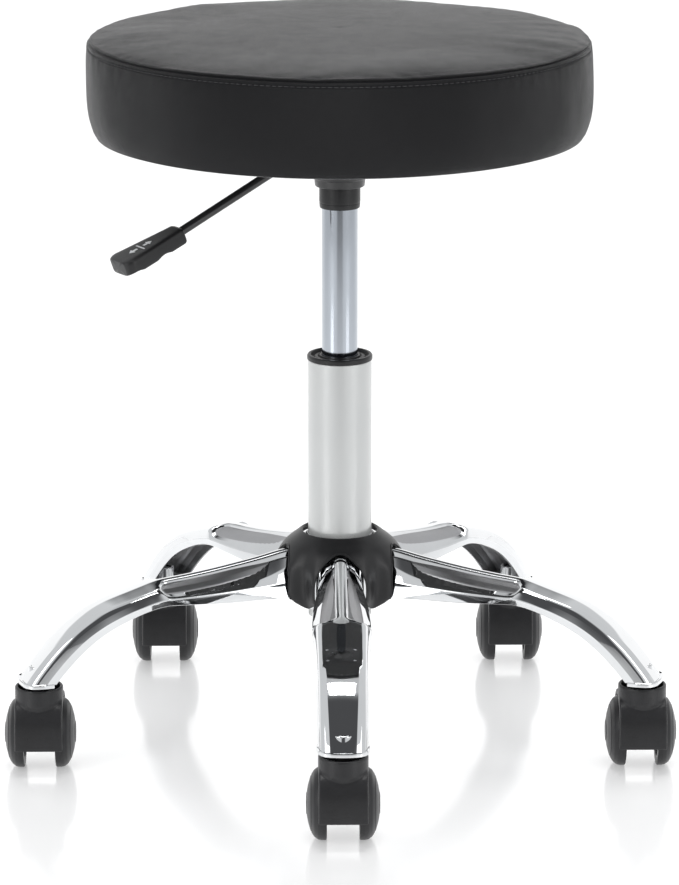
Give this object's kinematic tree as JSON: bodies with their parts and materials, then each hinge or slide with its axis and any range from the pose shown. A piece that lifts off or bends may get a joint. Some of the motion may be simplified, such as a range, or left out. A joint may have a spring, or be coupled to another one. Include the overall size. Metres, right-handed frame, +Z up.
{
  "type": "pedicure stool",
  "caption": "Low round padded stool on a gas lift with a height lever, a five-armed chromed base and twin-wheel swivel casters.",
  "frame": {"origin": "on the floor, at the centre of the bounding box of the stool with its seat raised", "axes": "+Z up; -Y towards the arm that points at the viewer; X to the viewer's right"},
  "size_m": [0.5252, 0.5074, 0.571],
  "materials": {
    "chrome": "mirror-bright chromium plate",
    "cylinder_steel": "ground and hard-chromed, fine lengthways drawing",
    "silver_lacquer": "satin silver-grey lacquer",
    "black_plastic": "moulded black, fine grain",
    "wheel_nylon": "moulded black nylon, satin",
    "plain_steel": "zinc-plated steel",
    "acetal": "natural acetal",
    "rubber": "plain rubber",
    "black_paint": "satin black paint",
    "black_vinyl": "soft black vinyl with a fine leather grain",
    "dust_cloth": "black non-woven cloth",
    "foam": "open-cell upholstery foam",
    "plywood": "raw plywood"
  },
  "bodies": {
    "base": {"arm_1": "chrome", "arm_2": "chrome", "arm_3": "chrome", "arm_4": "chrome", "arm_5": "chrome", "hub_sleeve": "chrome", "hub_cover": "black_plastic", "outer_column": "silver_lacquer", "column_cap": "black_plastic", "guide_bush": "acetal", "thrust_bearing": "plain_steel", "caster_stem_1": "plain_steel", "caster_stem_2": "plain_steel", "caster_stem_3": "plain_steel", "caster_stem_4": "plain_steel", "caster_stem_5": "plain_steel"},
    "piston": {"piston_rod": "plain_steel", "piston_head": "acetal", "bearing_washer": "plain_steel", "bump_stop": "rubber", "retaining_clip": "plain_steel"},
    "seat": {"inner_cylinder": "cylinder_steel", "rod_gland": "black_plastic", "cylinder_sleeve": "black_plastic", "socket_bell": "black_paint", "seat_plate": "black_paint", "plate_screw_1": "plain_steel", "plate_screw_2": "plain_steel", "plate_screw_3": "plain_steel", "plate_screw_4": "plain_steel", "lever_pivot_pin": "plain_steel", "dust_cover": "dust_cloth", "seat_board": "plywood", "foam_pad": "foam", "cover_band": "black_vinyl", "cover_top": "black_vinyl"},
    "lever": {"lever_rod": "black_paint", "lever_paddle": "black_plastic"},
    "release": {"release_pin": "plain_steel"},
    "caster_1": {"caster_hood_1": "black_plastic", "caster_axle_1": "plain_steel"},
    "left_wheel_1": {"wheel_left_1": "wheel_nylon"},
    "right_wheel_1": {"wheel_right_1": "wheel_nylon"},
    "caster_2": {"caster_hood_2": "black_plastic", "caster_axle_2": "plain_steel"},
    "left_wheel_2": {"wheel_left_2": "wheel_nylon"},
    "right_wheel_2": {"wheel_right_2": "wheel_nylon"},
    "caster_3": {"caster_hood_3": "black_plastic", "caster_axle_3": "plain_steel"},
    "left_wheel_3": {"wheel_left_3": "wheel_nylon"},
    "right_wheel_3": {"wheel_right_3": "wheel_nylon"},
    "caster_4": {"caster_hood_4": "black_plastic", "caster_axle_4": "plain_steel"},
    "left_wheel_4": {"wheel_left_4": "wheel_nylon"},
    "right_wheel_4": {"wheel_right_4": "wheel_nylon"},
    "caster_5": {"caster_hood_5": "black_plastic", "caster_axle_5": "plain_steel"},
    "left_wheel_5": {"wheel_left_5": "wheel_nylon"},
    "right_wheel_5": {"wheel_right_5": "wheel_nylon"}
  },
  "joints": [
    {"name": "seat_swivel", "type": "hinge", "parent": "base", "child": "piston", "pos_m": [0, 0.01607, 0.1153], "axis": [0, 0, 1], "continuous": true},
    {"name": "seat_lift", "type": "slide", "parent": "piston", "child": "seat", "axis": [0, 0, 1], "range_m": [-0.11, 0]},
    {"name": "lever_lift", "type": "hinge", "parent": "seat", "child": "lever", "pos_m": [-0.02035, 0.00335, 0.475], "axis": [-0.5299, 0.848, 0], "range_deg": [0, 6], "stiffness_Nm_per_rad": 4, "springref_deg": -20.05},
    {"name": "release_press", "type": "slide", "parent": "seat", "child": "release", "axis": [0, 0, -1], "range_m": [0, 0.0026]},
    {"name": "caster_swivel_1", "type": "hinge", "parent": "base", "child": "caster_1", "pos_m": [0, -0.23093, 0.055], "axis": [0, 0, 1], "continuous": true},
    {"name": "left_wheel_spin_1", "type": "hinge", "parent": "caster_1", "child": "left_wheel_1", "pos_m": [0, -0.22093, 0.0275], "axis": [1, 0, 0], "continuous": true},
    {"name": "right_wheel_spin_1", "type": "hinge", "parent": "caster_1", "child": "right_wheel_1", "pos_m": [0, -0.22093, 0.0275], "axis": [1, 0, 0], "continuous": true},
    {"name": "caster_swivel_2", "type": "hinge", "parent": "base", "child": "caster_2", "pos_m": [0.23491, -0.06026, 0.055], "axis": [0, 0, 1], "continuous": true},
    {"name": "left_wheel_spin_2", "type": "hinge", "parent": "caster_2", "child": "left_wheel_2", "pos_m": [0.23491, -0.05026, 0.0275], "axis": [1, 0, 0], "continuous": true},
    {"name": "right_wheel_spin_2", "type": "hinge", "parent": "caster_2", "child": "right_wheel_2", "pos_m": [0.23491, -0.05026, 0.0275], "axis": [1, 0, 0], "continuous": true},
    {"name": "caster_swivel_3", "type": "hinge", "parent": "base", "child": "caster_3", "pos_m": [0.14518, 0.21589, 0.055], "axis": [0, 0, 1], "continuous": true},
    {"name": "left_wheel_spin_3", "type": "hinge", "parent": "caster_3", "child": "left_wheel_3", "pos_m": [0.14518, 0.22589, 0.0275], "axis": [1, 0, 0], "continuous": true},
    {"name": "right_wheel_spin_3", "type": "hinge", "parent": "caster_3", "child": "right_wheel_3", "pos_m": [0.14518, 0.22589, 0.0275], "axis": [1, 0, 0], "continuous": true},
    {"name": "caster_swivel_4", "type": "hinge", "parent": "base", "child": "caster_4", "pos_m": [-0.14518, 0.21589, 0.055], "axis": [0, 0, 1], "continuous": true},
    {"name": "left_wheel_spin_4", "type": "hinge", "parent": "caster_4", "child": "left_wheel_4", "pos_m": [-0.14518, 0.22589, 0.0275], "axis": [1, 0, 0], "continuous": true},
    {"name": "right_wheel_spin_4", "type": "hinge", "parent": "caster_4", "child": "right_wheel_4", "pos_m": [-0.14518, 0.22589, 0.0275], "axis": [1, 0, 0], "continuous": true},
    {"name": "caster_swivel_5", "type": "hinge", "parent": "base", "child": "caster_5", "pos_m": [-0.23491, -0.06026, 0.055], "axis": [0, 0, 1], "continuous": true},
    {"name": "left_wheel_spin_5", "type": "hinge", "parent": "caster_5", "child": "left_wheel_5", "pos_m": [-0.23491, -0.05026, 0.0275], "axis": [1, 0, 0], "continuous": true},
    {"name": "right_wheel_spin_5", "type": "hinge", "parent": "caster_5", "child": "right_wheel_5", "pos_m": [-0.23491, -0.05026, 0.0275], "axis": [1, 0, 0], "continuous": true}
  ],
  "couplings": [
    {"joint": "release_press", "follows": "lever_lift", "m_per_rad": 0.024}
  ]
}
